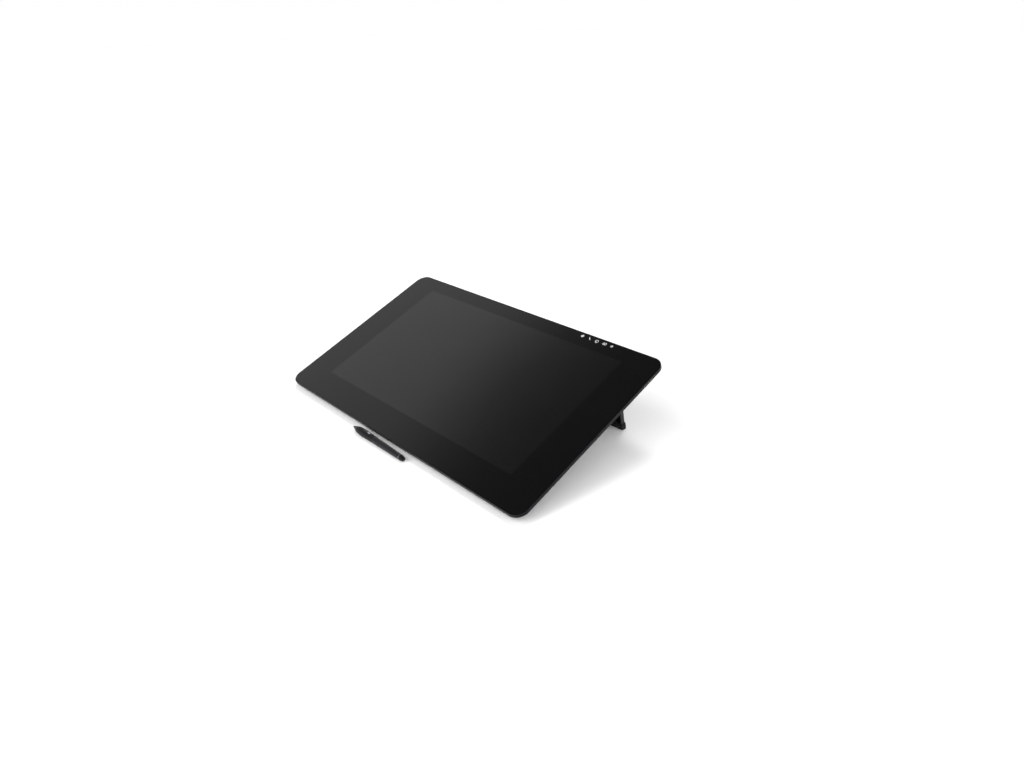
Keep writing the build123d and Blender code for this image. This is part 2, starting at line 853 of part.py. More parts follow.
def switch_board():
    """A small board under the rear ledge with the two switches that the controls work."""
    rear = body_depth - ledge_width + ledge_bite
    x = (edge_button_x + edge_slide_x) / 2
    low = frame_back - switch_board_thickness
    middle = rear - switch_board_depth / 2
    board = slab(switch_board_width, switch_board_depth, low, frame_back, x=x, y=middle)
    face = body_depth - rim_wall - edge_control_gap * 2 - flange_thickness - edge_button_travel
    depth = switch_board_depth / 3
    for place in (edge_button_x, edge_slide_x):
        board += slab(depth * 2, depth, low - edge_button_height, low, x=place, y=face - depth / 2)
    return board


def leg_place(side):
    """A leg is drawn folded, with its hinge axis at the origin, then swung open."""
    return Pos(side * leg_centre_x, leg_hinge_y, leg_hinge_z) * Rot(leg_open_angle, 0, 0)


def leg_outline(length, grow):
    """The flat outline of a leg, square at the hinge and rounded at the foot."""
    outline = Pos(0, -length / 2, 0) * Rectangle(leg_width + grow * 2, length)
    return fillet(outline.vertices().group_by(Axis.Y)[0], leg_corner + grow)


def leg_blank(length, grow):
    half = leg_thickness / 2 + grow
    return Pos(0, 0, -half) * extrude(leg_outline(length, grow), amount=half * 2)


def leg_end():
    """The rigid leg stops inside its rubber foot."""
    return leg_reach - foot_sole


def leg_plate(side):
    """A moulded plate, ribbed on its inner face, with hinge knuckles either side of the bracket."""
    plate = leg_blank(leg_end(), 0)
    plate = chamfer(plate.edges().group_by(Axis.Z)[0], leg_edge_chamfer)
    panel_end = leg_reach - foot_pad_length - leg_panel_margin
    plate -= slab(leg_width - leg_panel_margin * 2, panel_end - leg_panel_margin * 2, -leg_thickness,
                  leg_panel_depth - leg_thickness / 2, leg_panel_corner, 0, -panel_end / 2 - leg_panel_margin)
    plate += Rot(0, right_angle, 0) * Cylinder(knuckle_radius, leg_width)
    rib_top = leg_thickness / 2
    web_start = knuckle_radius + leg_notch_clearance + leg_skin * 2
    web_end = leg_reach - foot_pad_length - leg_skin
    bay_pitch = (leg_width - leg_skin * 2 + leg_rib_width) / (leg_rib_count + 1)
    for index in range(leg_rib_count + 1):
        x = leg_skin + bay_pitch * index + (bay_pitch - leg_rib_width) / 2 - leg_width / 2
        hollow = slab(bay_pitch - leg_rib_width, web_end - web_start, leg_skin - rib_top, rib_top + overrun,
                      leg_rib_width, x, -(web_start + web_end) / 2)
        plate -= hollow
    notch = Rot(0, right_angle, 0) * Cylinder(
        knuckle_radius + leg_notch_clearance, leg_bracket_width + running_gap * 2)
    plate -= notch
    plate -= Rot(0, right_angle, 0) * Cylinder(leg_pin_radius + leg_pin_clearance, leg_width + overrun)
    return leg_place(side) * plate


def leg_foot(side):
    """A rubber cap over the end of the leg, cut flat where it stands."""
    cap = leg_blank(leg_reach + leg_thickness, foot_pad_wall)
    cap -= leg_blank(leg_end(), 0)
    length = leg_reach - foot_pad_length
    cap -= slab(leg_width * 2, length * 2, -leg_thickness * 2, leg_thickness * 2)
    return leg_place(side) * cap - desk_block()


def hinge_pin(side):
    """A steel pin from wall to wall of the leg's pocket."""
    length = leg_width + leg_side_clearance * 2
    place = Pos(side * leg_centre_x, leg_hinge_y, leg_hinge_z) * Rot(0, right_angle, 0)
    return place * Cylinder(leg_pin_radius, length)


def hinge_bracket(side):
    """A cast lug between the knuckles, on a base against the roof of the pocket."""
    x = side * leg_centre_x
    height = pocket_roof - leg_hinge_z
    lug = Rot(0, right_angle, 0) * Cylinder(knuckle_radius, leg_bracket_width)
    lug += slab(leg_bracket_width, knuckle_radius * 2, 0, height)
    lug += slab(leg_bracket_width, leg_bracket_base_length, height - leg_bracket_base, height)
    lug -= Rot(0, right_angle, 0) * Cylinder(leg_pin_radius + leg_pin_clearance, leg_bracket_width + overrun)
    return Pos(x, leg_hinge_y, leg_hinge_z) * lug


def turned(edges):
    """A solid turned about the pen's axis from edges given as radius and place along it."""
    return revolve(Plane.XZ * make_face(edges), Axis.Z)


def pen_form(inset):
    """The pen's outside from nose to tail, drawn in by an inset."""
    outline = [
        (cone_tip_radius - inset, cone_start),
        (grip_start_radius - inset, grip_start),
        (grip_radius - inset, grip_widest),
        (grip_end_radius - inset, grip_end),
        (tail_radius - inset, tail_start),
    ]
    nose = (grip_start - cone_start, grip_start_radius - cone_tip_radius)
    tail = (tail_start - grip_end, tail_radius - grip_end_radius)
    swell = Spline(outline[:-1], tangents=[(nose[1], nose[0]), (tail[1], tail[0])])
    taper = Line(outline[-2], outline[-1])
    top = Line(outline[-1], (0, tail_start))
    axis = Line((0, tail_start), (0, cone_start))
    base = Line((0, cone_start), outline[0])
    return turned([swell, taper, top, axis, base])


def pen_band(solid, start, end):
    """The stretch of a turned solid between two places along the pen."""
    return solid & disc(grip_radius * 2, start, end)


def pen_nib():
    """A plastic point on a thin stem that reaches back to the pressure sensor."""
    tip = fillet(disc(nib_radius, 0, nib_reach).edges().sort_by(Axis.Z)[0], nib_radius * nib_round_share)
    return tip


def pen_nose_cone():
    bore = disc(nib_radius + nib_clearance, 0, grip_start + overrun)
    return pen_band(pen_form(0), cone_start, grip_start) - bore


def rocker_cut(spare, depth):
    """A pill-shaped prism reaching out of the pen's upper side, from a depth below its surface."""
    outline = SlotOverall(rocker_length + spare * 2, rocker_width + spare * 2, rotation=0)
    prism = extrude(outline, amount=grip_radius)
    place = Pos(depth - grip_radius, 0, rocker_centre) * Rot(0, -right_angle, 0)
    return place * prism


def rocker_pin(spare):
    """The short axle of the side switch, across the pen."""
    length = rocker_width + (rocker_pin_reach + spare) * 2
    place = Pos(rocker_axle_depth - grip_radius, 0, rocker_centre) * Rot(right_angle, 0, 0)
    return place * Cylinder(rocker_pin_radius + spare, length)


def rocker_room():
    return rocker_cut(rocker_clearance, rocker_depth + rocker_floor_gap)


def pen_grip_sleeve():
    """A soft sleeve that swells to the pen's widest place."""
    sleeve = pen_form(0) - pen_form(sleeve_thickness)
    return pen_band(sleeve, grip_start, grip_end) - rocker_room() - rocker_pin(rocker_pin_clearance)


def pen_barrel():
    """A tapered tube: slim inside the grip, full behind it, closed at the tail round the eraser's stem."""
    barrel = pen_band(pen_form(sleeve_thickness), grip_start, grip_end)
    barrel += pen_band(pen_form(0), grip_end, tail_start)
    barrel -= disc(nib_radius + nib_clearance, 0, tail_start)
    coil_end = coil_start + coil_length
    barrel -= disc(coil_outer_radius + coil_clearance, coil_start, coil_end + coil_clearance)
    barrel -= disc(core_radius + coil_clearance, coil_end, cavity_start)
    cavity_end = tail_start - tail_wall
    barrel -= disc(cavity_radius, cavity_start, cavity_end)
    barrel -= disc(eraser_stem_radius + coil_clearance, cavity_end - overrun, tail_start + overrun)
    return barrel - rocker_room() - rocker_pin(rocker_pin_clearance)


def pen_side_switch():
    """A rocker that follows the pen's surface and stands a little proud of it."""
    shell = pen_band(pen_form(-rocker_proud), grip_start, grip_end)
    return (shell & rocker_cut(0, rocker_depth)) + rocker_pin(0)


def pen_core():
    """The ferrite tube that the nib's stem runs through."""
    core = disc(core_radius, coil_start, cavity_start - nib_clearance)
    return core - disc(nib_radius + nib_clearance, 0, cavity_start)


def pen_coil():
    """The winding round the ferrite tube."""
    end = coil_start + coil_length
    return disc(coil_outer_radius, coil_start, end) - disc(core_radius + coil_clearance, 0, end + overrun)


def pen_pressure_sensor():
    return disc(cavity_radius - coil_clearance, cavity_start, cavity_start + sensor_length)


def pen_circuit_board():
    start = cavity_start + sensor_length
    return slab(board_thickness, pen_board_width, start, start + pen_board_length)


def pen_eraser():
    """A rounded end that presses in along the pen, on a stem that reaches the circuit board."""
    start = tail_start + eraser_gap
    middle = (start + pen_length) / 2
    side = Spline([(tail_radius, start), (eraser_middle_radius, middle), (0, pen_length)],
                  tangents=[(0, 1), (-1, 0)])
    head = turned([side, Line((0, pen_length), (0, start)), Line((0, start), (tail_radius, start))])
    board_end = cavity_start + sensor_length + pen_board_length
    return head + disc(eraser_stem_radius, board_end + eraser_gap, start)


def pen_pieces():
    """Every piece of the pen, standing on its tip."""
    return {
        "pen_nib": pen_nib(),
        "pen_nose_cone": pen_nose_cone(),
        "pen_grip_sleeve": pen_grip_sleeve(),
        "pen_barrel": pen_barrel(),
        "pen_side_switch": pen_side_switch(),
        "pen_eraser": pen_eraser(),
        "pen_ferrite_core": pen_core(),
        "pen_coil": pen_coil(),
        "pen_pressure_sensor": pen_pressure_sensor(),
        "pen_circuit_board": pen_circuit_board(),
    }


def pen_slope():
    """The lying pen touches the desk at its widest place and at its tail."""
    return degrees(asin((grip_radius - tail_radius) / (tail_start - grip_widest)))


def display_pieces():
    """Every piece of the display, lying flat with its legs open."""
    screen = screen_layer
    pieces = {
        "cover_glass": cover_glass(),
        "optical_adhesive": screen(adhesive_back, glass_back),
        "lcd_cell": screen(cell_back, adhesive_back),
        "optical_films": screen(film_back, cell_back),
        "light_guide": light_guide(),
        "led_bar": led_bar(),
        "reflector_sheet": screen(reflector_back, guide_back),
        "backlight_tray": backlight_tray(),
        "digitizer_board": screen(sensing_back, tray_back),
        "shield_plate": screen(shield_back, sensing_back),
        "touch_key_board": touch_key_board(),
        "front_frame": front_frame(),
        "chassis": chassis(),
        "rear_cover": rear_cover(),
        "mount_inserts": mount_inserts(),
        "cover_screws": cover_screws(),
        "front_feet": front_feet(),
        "rear_feet": rear_feet(),
        "main_board": main_board(),
        "power_board": power_board(),
        "heat_sink": heat_sink(),
        "port_board": port_board(),
        "power_socket": power_socket(),
        "headphone_jack": headphone_jack(),
        "power_button": edge_button(),
        "touch_switch": touch_switch(),
        "switch_board": switch_board(),
    }
    for name, share, width, height in socket_shapes():
        pieces[name] = port_socket(share, width, height)
    for side, word in ((-1, "left"), (1, "right")):
        for y, place in ((edge_socket_upper_y, "upper"), (edge_socket_upper_y - edge_socket_pitch, "lower")):
            pieces[f"usb_socket_{word}_{place}"] = edge_socket(side, y)
        pieces[f"fan_housing_{word}"] = fan_housing(side)
        pieces[f"fan_rotor_{word}"] = fan_rotor(side)
        pieces[f"leg_plate_{word}"] = leg_plate(side)
        pieces[f"leg_foot_{word}"] = leg_foot(side)
        pieces[f"hinge_pin_{word}"] = hinge_pin(side)
        pieces[f"hinge_bracket_{word}"] = hinge_bracket(side)
    return pieces


def placed_pieces():
    """All pieces where they stand, and the two placements that bring them there."""
    display = {name: stand_up * piece for name, piece in display_pieces().items()}
    pen = pen_pieces()
    lie = Pos(pen_tip_x, pen_y, 0) * Rot(0, right_angle + pen_slope(), 0)
    lowest = min((lie * piece).bounding_box().min.Z for piece in pen.values())
    lie = Pos(0, 0, -lowest) * lie
    pen = {name: lie * piece for name, piece in pen.items()}
    rear = max(piece.bounding_box().max.Y for piece in display.values())
    front = min(piece.bounding_box().min.Y for piece in pen.values())
    centre = Pos(0, -(rear + front) / 2, 0)
    pieces = {name: centre * piece for name, piece in {**display, **pen}.items()}
    return pieces, centre * stand_up, centre * lie


def main():
    os.makedirs("parts", exist_ok=True)
    pieces, display_place, pen_place = placed_pieces()
    for name, piece in pieces.items():
        export_step(piece, f"parts/{name}.step")
    print(len(pieces), "pieces")


if __name__ == "__main__":
    main()
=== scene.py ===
# %% [markdown]
# A pen display: a graphics tablet with a screen, standing on two fold-out
# legs, with its pen on the desk in front. The construction comes ready made,
# at its real size. This lesson gives each piece its real finish, adds the
# printed keys and the small details that a close look finds, and lights the
# whole like a plain studio shot.

# %% Load the construction
import json
import math

import bpy
import numpy as np
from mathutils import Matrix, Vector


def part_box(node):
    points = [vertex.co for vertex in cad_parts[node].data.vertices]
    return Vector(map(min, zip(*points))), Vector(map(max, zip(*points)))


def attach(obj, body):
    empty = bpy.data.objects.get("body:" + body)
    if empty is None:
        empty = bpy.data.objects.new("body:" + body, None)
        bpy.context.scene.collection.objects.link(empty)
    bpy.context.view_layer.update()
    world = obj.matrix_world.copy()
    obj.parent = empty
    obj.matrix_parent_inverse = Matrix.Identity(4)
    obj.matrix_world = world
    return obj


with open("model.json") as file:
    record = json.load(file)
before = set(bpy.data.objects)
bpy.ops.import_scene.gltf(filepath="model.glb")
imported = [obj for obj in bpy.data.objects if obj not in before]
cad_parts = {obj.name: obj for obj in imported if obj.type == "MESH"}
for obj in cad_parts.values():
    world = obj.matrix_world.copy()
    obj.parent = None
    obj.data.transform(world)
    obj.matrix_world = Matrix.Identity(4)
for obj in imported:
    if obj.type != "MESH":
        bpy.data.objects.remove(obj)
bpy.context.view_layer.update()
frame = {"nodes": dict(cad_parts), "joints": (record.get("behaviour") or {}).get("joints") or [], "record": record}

MM = 0.001
nodes = frame["nodes"]
joints = {joint["name"]: joint for joint in frame["joints"]}

# %% [markdown]
# Most of the object is tilted, so its details are easier to place in a flat
# frame of its own: X along the front edge, Y up the glass from that edge and
# Z straight out of the glass. One function turns such points into the scene.
# The tilt is read from the way the power button presses, and the front edge
# from the hinge of a leg, which lies 327 mm up the slope and 36 mm behind the
# glass. Sizes are written in millimetres, and MM turns them into metres.

# %% The flat frame of the glass
LEG_HINGE_Y = 327.0
LEG_HINGE_DEPTH = 36.0
press = np.array(joints["power_press"]["axis"])
up_slope = -press
out_of_glass = np.cross([1.0, 0.0, 0.0], up_slope)
tilt = math.atan2(up_slope[2], up_slope[1])
hinge = np.array(joints["leg_left_fold"]["pos_m"]) * (0.0, 1.0, 1.0)
edge_origin = hinge - up_slope * LEG_HINGE_Y * MM + out_of_glass * LEG_HINGE_DEPTH * MM


def on_glass(x, y, z=0.0):
    """Points given in millimetres in the flat frame, as points of the scene in metres."""
    x, y, z = np.broadcast_arrays(np.asarray(x, float), y, z)
    flat = np.stack([x, y, z], axis=-1) * MM
    axes = np.stack([[1.0, 0.0, 0.0], up_slope, out_of_glass])
    return edge_origin + flat @ axes


print("tilt", round(math.degrees(tilt), 2), "degrees, front edge at", edge_origin.round(4))

# %% [markdown]
# Five small helpers serve every finish. Colours are given as sRGB hex values, and Blender wants linear light, so
# one function converts them. One adds a node, sets it and links it, and one joins two sockets. One starts a
# material and sets what is the same all over the surface on the shader itself. The last measures a pattern in
# millimetres on the piece itself, so that the pattern moves with the piece.

# %% Helpers for finishes
# The colour sockets of a Mix node share their names with others, so they are
# reached by their number.
MIX_FACTOR, MIX_FIRST, MIX_SECOND, MIX_RESULT = 0, 6, 7, 2


def linear(code):
    """An sRGB hex colour as linear red, green, blue and a full alpha.

    The curve of the sRGB standard is a straight line in its darkest part and a power above it.
    """
    srgb = np.array([int(code[start:start + 2], 16) for start in (1, 3, 5)]) / 255
    low = srgb / 12.92
    high = ((srgb + 0.055) / 1.055) ** 2.4
    return (*np.where(srgb <= 0.04045, low, high).tolist(), 1.0)


def add(material, kind, inputs=None, **settings):
    """Adds one node with its settings; each input is a value to set or a socket to link."""
    made = material.node_tree.nodes.new(kind)
    for name, value in settings.items():
        setattr(made, name, value)
    for name, value in (inputs or {}).items():
        if isinstance(value, bpy.types.NodeSocket):
            link(material, value, made.inputs[name])
        else:
            made.inputs[name].default_value = value
    return made


def link(material, source, target):
    """Joins the output socket source to the input socket target."""
    material.node_tree.links.new(source, target)


def start(name, **constants):
    """A material with its shader; the constants are written on the shader's own sockets."""
    material = bpy.data.materials.new(name)
    material.use_nodes = True
    shader = material.node_tree.nodes["Principled BSDF"]
    for label, value in constants.items():
        socket = label.replace("_", " ").title().replace("Ior", "IOR")
        shader.inputs[socket].default_value = linear(value) if isinstance(value, str) else value
    return material, shader


def object_place(material, size_mm, turn=(0.0, 0.0, 0.0)):
    """Object coordinates scaled so that one unit of a pattern is size_mm long."""
    place = add(material, "ShaderNodeTexCoord")
    scale = 1.0 / (size_mm * MM)
    mapping = add(material, "ShaderNodeMapping", {
        "Vector": place.outputs["Object"], "Scale": (scale, scale, scale), "Rotation": turn})
    return mapping.outputs["Vector"]


print("helpers ready")

# %% [markdown]
# Most moulded, cast and etched surfaces differ in just four things: the size
# of their grain, how deep it is, how much the colour drifts and how much the
# gloss drifts. One function builds that finish from real sizes in
# millimetres: fine noise for the grain as bump, and a broad noise that shifts
# colour and roughness a little, as handling and moulding do.

# %% A grained finish
# Most of a broad noise lies between these two values.
NOISE_LOW, NOISE_HIGH = 0.3, 0.7


def grained(name, light, dark, roughness, grain_mm, depth_mm, spread=0.06, patch_mm=40.0, **constants):
    """Broad noise mixes two colours and moves the roughness; fine noise is bump of a real depth."""
    material, shader = start(name, **constants)
    broad = add(material, "ShaderNodeTexNoise", {
        "Vector": object_place(material, patch_mm), "Scale": 1.0, "Detail": 4.0})
    mix = add(material, "ShaderNodeMix", {
        MIX_FACTOR: broad.outputs["Fac"], MIX_FIRST: linear(dark), MIX_SECOND: linear(light)},
        data_type="RGBA")
    link(material, mix.outputs[MIX_RESULT], shader.inputs["Base Color"])
    gloss = add(material, "ShaderNodeMapRange", {
        "Value": broad.outputs["Fac"], "From Min": NOISE_LOW, "From Max": NOISE_HIGH,
        "To Min": roughness - spread, "To Max": roughness + spread})
    link(material, gloss.outputs["Result"], shader.inputs["Roughness"])
    fine = add(material, "ShaderNodeTexNoise", {
        "Vector": object_place(material, grain_mm), "Scale": 1.0, "Detail": 3.0})
    bump = add(material, "ShaderNodeBump", {
        "Height": fine.outputs["Fac"], "Strength": 1.0, "Distance": depth_mm * MM})
    link(material, bump.outputs["Normal"], shader.inputs["Normal"])
    return material


print("grained finish ready")

# %% [markdown]
# The photograph is a studio cut-out on white, taken from the right and a
# little above. The camera repeats that viewpoint. Its place is given from the
# middle of the front edge, its height from the desk, and its turn in degrees.

# %% Camera
CAMERA_X = 0.941615
CAMERA_Y_FROM_EDGE = -0.596870
CAMERA_HEIGHT = 0.697292
CAMERA_TURN = (62.10861863, 0.96446038, 45.16824612)
CAMERA_LENS = 24.841
SENSOR_WIDTH = 36.0


def place_camera():
    """The camera at the photograph's angle."""
    camera = bpy.data.objects.new("camera", bpy.data.cameras.new("camera"))
    bpy.context.collection.objects.link(camera)
    camera.location = (CAMERA_X, edge_origin[1] + CAMERA_Y_FROM_EDGE, CAMERA_HEIGHT)
    camera.rotation_euler = [math.radians(angle) for angle in CAMERA_TURN]
    camera.data.lens = CAMERA_LENS
    camera.data.sensor_width = SENSOR_WIDTH
    bpy.context.scene.camera = camera
    return camera


camera = place_camera()
print("camera at", [round(value, 3) for value in camera.location])

# %% [markdown]
# The floor is plain and pale, like a large sheet of matt paper. It is far
# wider than the tablet, so that the soft shadow has room on every side.

# %% Floor
FLOOR_HALF = 20.0


def lay_floor():
    """One large square at the height of the desk, marked as stage."""
    corners = [(-FLOOR_HALF, -FLOOR_HALF, 0), (FLOOR_HALF, -FLOOR_HALF, 0),
               (FLOOR_HALF, FLOOR_HALF, 0), (-FLOOR_HALF, FLOOR_HALF, 0)]
    mesh = bpy.data.meshes.new("floor")
    mesh.from_pydata(corners, [], [(0, 1, 2, 3)])
    floor = bpy.data.objects.new("floor", mesh)
    bpy.context.collection.objects.link(floor)
    # Matt white paper: an even ground that takes soft shadows.
    paper, _ = start("matt_white_paper", base_color="#fbfbfb", roughness=0.9)
    mesh.materials.append(paper)
    return floor


print("floor", lay_floor().dimensions.x, "m wide")

# %% [markdown]
# One broad light from behind on the left gives the soft shadow on the right,
# and a broader and lower one on the right keeps that shadow pale. A third
# from the front keeps the shadow of the front edge as narrow as it is in a
# studio with a white table. None of them shows in reflections. Each is given
# as its strength, how many degrees of sky it fills, its height and its
# bearing from the rear towards the left, both in degrees. The picture is
# shown without a film curve, so that white stays white.

# %% Lights
PANELS = (
    ("rear_panel", 0.8, 16.0, 62.0, 31.0),
    ("right_panel", 1.4, 70.0, 40.0, -105.0),
    ("front_panel", 2.0, 60.0, 40.0, 165.0),
)


def hang_panels():
    """A sun points straight down until it is turned, so it is tipped by its height less a right angle."""
    for name, strength, spread, height, bearing in PANELS:
        lamp = bpy.data.lights.new(name, "SUN")
        lamp.energy = strength
        lamp.angle = math.radians(spread)
        panel = bpy.data.objects.new(name, lamp)
        bpy.context.collection.objects.link(panel)
        panel.rotation_euler = (math.radians(height - 90), 0.0, math.radians(bearing))
        panel.visible_glossy = False


hang_panels()
bpy.context.scene.view_settings.view_transform = "Standard"
print(len(PANELS), "lights")

# %% [markdown]
# Seen this flat, the dark glass is nearly a mirror, so what it shows is the
# room. A picture of a room could do this, but a plain grading needs no file
# and is easy to steer: bright near the horizon and dark overhead gives the
# grey sheen that fades from left to right. Each stop is a height, as the sine
# of its angle above the horizon, and a brightness.

# %% A room that is bright low down and dark overhead
SKY_STOPS = ((0.0, 1.0), (0.4, 0.9), (0.6, 0.74), (0.7, 0.72), (0.745, 0.25), (0.79, 0.04), (1.0, 0.01))


def graded_room(stops):
    """The height of a direction, as a sine from 0 at the horizon to 1 overhead, picks the brightness."""
    world = bpy.data.worlds.new("room")
    bpy.context.scene.world = world
    world.use_nodes = True
    background = world.node_tree.nodes["Background"]
    place = add(world, "ShaderNodeTexCoord")
    split = add(world, "ShaderNodeSeparateXYZ", {"Vector": place.outputs["Generated"]})
    ramp = add(world, "ShaderNodeValToRGB", {"Fac": split.outputs["Z"]})
    points = ramp.color_ramp.elements
    # A new stop starts halfway and gets its own height in the loop after this one.
    while len(points) < len(stops):
        points.new(0.5)
    for point, (height, level) in zip(points, stops):
        point.position = height
        point.color = (level, level, level, 1.0)
    link(world, ramp.outputs["Color"], background.inputs["Color"])


graded_room(SKY_STOPS)
print("room graded in", len(SKY_STOPS), "steps")

# %% [markdown]
# The front is one sheet of soda-lime glass. Its back is printed black all
# round, and the screen, switched off, shows through the clear middle as a
# slightly lighter grey. A picture of the front could hold that edge, but it
# would blur close up. A mask worked out in the flat frame stays sharp.

# %% Where the screen shows through
SCREEN_MIDDLE = 209.0
SCREEN_SIZE = (534.0, 300.0)
SCREEN_EDGE_BLUR = 0.3


def flat_place(material):
    """Object coordinates moved to the front edge and laid flat, in metres."""
    place = add(material, "ShaderNodeTexCoord")
    shift = add(material, "ShaderNodeVectorMath", {
        0: place.outputs["Object"], 1: tuple(edge_origin)}, operation="SUBTRACT")
    turn = add(material, "ShaderNodeMapping", {
        "Vector": shift.outputs["Vector"], "Rotation": (-tilt, 0.0, 0.0)})
    return turn.outputs["Vector"]


def window_mask(material, middle, size, soft):
    """One inside a rectangle of the flat frame and zero outside, decided by the larger overhang."""
    centred = add(material, "ShaderNodeVectorMath", {
        0: flat_place(material), 1: (0.0, middle * MM, 0.0)}, operation="SUBTRACT")
    reach = add(material, "ShaderNodeVectorMath", {0: centred.outputs["Vector"]}, operation="ABSOLUTE")
    over = add(material, "ShaderNodeVectorMath", {
        0: reach.outputs["Vector"], 1: (size[0] / 2 * MM, size[1] / 2 * MM, 0.0)}, operation="SUBTRACT")
    split = add(material, "ShaderNodeSeparateXYZ", {"Vector": over.outputs["Vector"]})
    larger = add(material, "ShaderNodeMath", {
        0: split.outputs["X"], 1: split.outputs["Y"]}, operation="MAXIMUM")
    mask = add(material, "ShaderNodeMapRange", {
        "Value": larger.outputs["Value"], "From Min": -soft * MM, "From Max": soft * MM,
        "To Min": 1.0, "To Max": 0.0})
    return mask.outputs["Result"]


print("screen of", SCREEN_SIZE, "mm")

# %% [markdown]
# The glass is etched with acid so that a pen drags a little on it. The
# etching leaves a satin face that blurs every reflection, with a fine bump
# from the acid and broad patches, a little glossier or duller, where it was
# wiped. The layers of the screen send back a little more light than the print
# does, so the mask also tints the reflection.

# %% Cover glass
PRINT_BLACK, SCREEN_BLACK = "#0c0c0d", "#101011"
PRINT_SHEEN, SCREEN_SHEEN = "#cacacc", "#ffffff"
WIPED_PATCH = 90.0
GLASS_ROUGHNESS = (0.13, 0.16)
# The real etching is finer than a tenth of a millimetre. It is drawn coarser,
# because a grain that fine is lost in any view of the whole.
ETCH_GRAIN = 0.35
ETCH_DEPTH = 0.004
ETCH_STRENGTH = 0.4


def cover_glass_finish():
    """Black print and dark screen under a satin face of glass."""
    material, shader = start("acid_etched_glass_printed_black", ior=1.52, specular_ior_level=0.5)
    mask = window_mask(material, SCREEN_MIDDLE, SCREEN_SIZE, SCREEN_EDGE_BLUR)
    for first, second, socket in ((PRINT_BLACK, SCREEN_BLACK, "Base Color"),
                                  (PRINT_SHEEN, SCREEN_SHEEN, "Specular Tint")):
        mix = add(material, "ShaderNodeMix", {
            MIX_FACTOR: mask, MIX_FIRST: linear(first), MIX_SECOND: linear(second)}, data_type="RGBA")
        link(material, mix.outputs[MIX_RESULT], shader.inputs[socket])
    wiped = add(material, "ShaderNodeTexNoise", {
        "Vector": object_place(material, WIPED_PATCH), "Scale": 1.0, "Detail": 5.0})
    gloss = add(material, "ShaderNodeMapRange", {
        "Value": wiped.outputs["Fac"], "From Min": NOISE_LOW, "From Max": NOISE_HIGH,
        "To Min": GLASS_ROUGHNESS[0], "To Max": GLASS_ROUGHNESS[1]})
    link(material, gloss.outputs["Result"], shader.inputs["Roughness"])
    etch = add(material, "ShaderNodeTexNoise", {
        "Vector": object_place(material, ETCH_GRAIN), "Scale": 1.0, "Detail": 2.0})
    bump = add(material, "ShaderNodeBump", {
        "Height": etch.outputs["Fac"], "Strength": ETCH_STRENGTH, "Distance": ETCH_DEPTH * MM})
    link(material, bump.outputs["Normal"], shader.inputs["Normal"])
    return material


finishes = {"cover_glass": cover_glass_finish()}
print("glass finished")

# %% [markdown]
# The rear cover, the legs, the pen and many small parts are plastic or
# rubber. Nearly all of them are black, so what tells them apart is how they
# treat light: how rough they are, how coarse their grain is and how strongly
# they shine.

# %% Plastic and rubber
# The rear cover and two sockets. A spark-eroded mould leaves an even fine
# grain and a deep matt black.
finishes["black_plastic"] = grained(
    "spark_eroded_black_abs", "#0c0c0d", "#080809", roughness=0.52, grain_mm=0.35, depth_mm=0.03,
    spread=0.02, specular_ior_level=0.25)
# The leg plates. Glass fibres roughen the skin, so the grain is coarser and
# the gloss drifts more.
finishes["leg_plastic"] = grained(
    "glass_filled_black_nylon", "#0f0f10", "#0a0a0b", roughness=0.46, grain_mm=0.5, depth_mm=0.03,
    spread=0.05, specular_ior_level=0.3)
# The feet. Moulded rubber is the dullest black of all, with hardly a highlight.
finishes["rubber_foot"] = grained(
    "moulded_black_tpe_rubber", "#121213", "#0d0d0e", roughness=0.78, grain_mm=0.6, depth_mm=0.05,
    spread=0.05, specular_ior_level=0.3)
# The grip and the eraser. A soft-touch skin gives a broad, weak highlight.
finishes["pen_rubber"] = grained(
    "soft_touch_silicone_rubber", "#121214", "#0d0d0f", roughness=0.48, grain_mm=0.25, depth_mm=0.015,
    patch_mm=14.0, specular_ior_level=0.22)
# The barrel, the cone and the nib. A smoother mould gives a narrower highlight.
finishes["pen_plastic"] = grained(
    "satin_moulded_black_abs", "#1c1c1f", "#151518", roughness=0.28, grain_mm=0.18, depth_mm=0.008,
    patch_mm=18.0, specular_ior_level=0.25)
# The buttons. They are a little paler than the pen's barrel and reflect more
# strongly, so they stand out from what is round them.
finishes["button_plastic"] = grained(
    "polished_black_polycarbonate", "#232427", "#1b1c1f", roughness=0.32, grain_mm=0.2, depth_mm=0.006,
    spread=0.04, patch_mm=6.0)
# The fans inside. Plain dark grey, with the even grain of a mould.
finishes["fan_plastic"] = grained(
    "moulded_black_pbt", "#1a1a1b", "#121213", roughness=0.45, grain_mm=0.4, depth_mm=0.02)
# The reflector behind the screen. Bright, white and matt.
finishes["white_film"] = grained(
    "white_polyester_reflector", "#f2f2ee", "#e6e6e2", roughness=0.7, grain_mm=0.3, depth_mm=0.01)
print(len(finishes), "finishes so far")

# %% [markdown]
# The metal parts differ in how they were made, and that shows in their skin:
# cast metal is dull and mottled, galvanised sheet has crystals of zinc, and
# an extruded surface is paler and brighter. The ferrite core of the pen's
# coil is a fired ceramic, and the same function serves it.

# %% Metal and ferrite
# The cover screws. Blackened steel is dark, with a metallic glint.
finishes["black_steel"] = grained(
    "blackened_screw_steel", "#26272a", "#191a1c", roughness=0.36, grain_mm=0.15, depth_mm=0.008,
    patch_mm=4.0, metallic=1.0)
# The chassis and the hinge brackets. Die casting leaves a dull, slightly
# mottled grey.
finishes["cast_magnesium"] = grained(
    "die_cast_magnesium", "#8f9092", "#7c7d80", roughness=0.5, grain_mm=0.6, depth_mm=0.03, metallic=1.0)
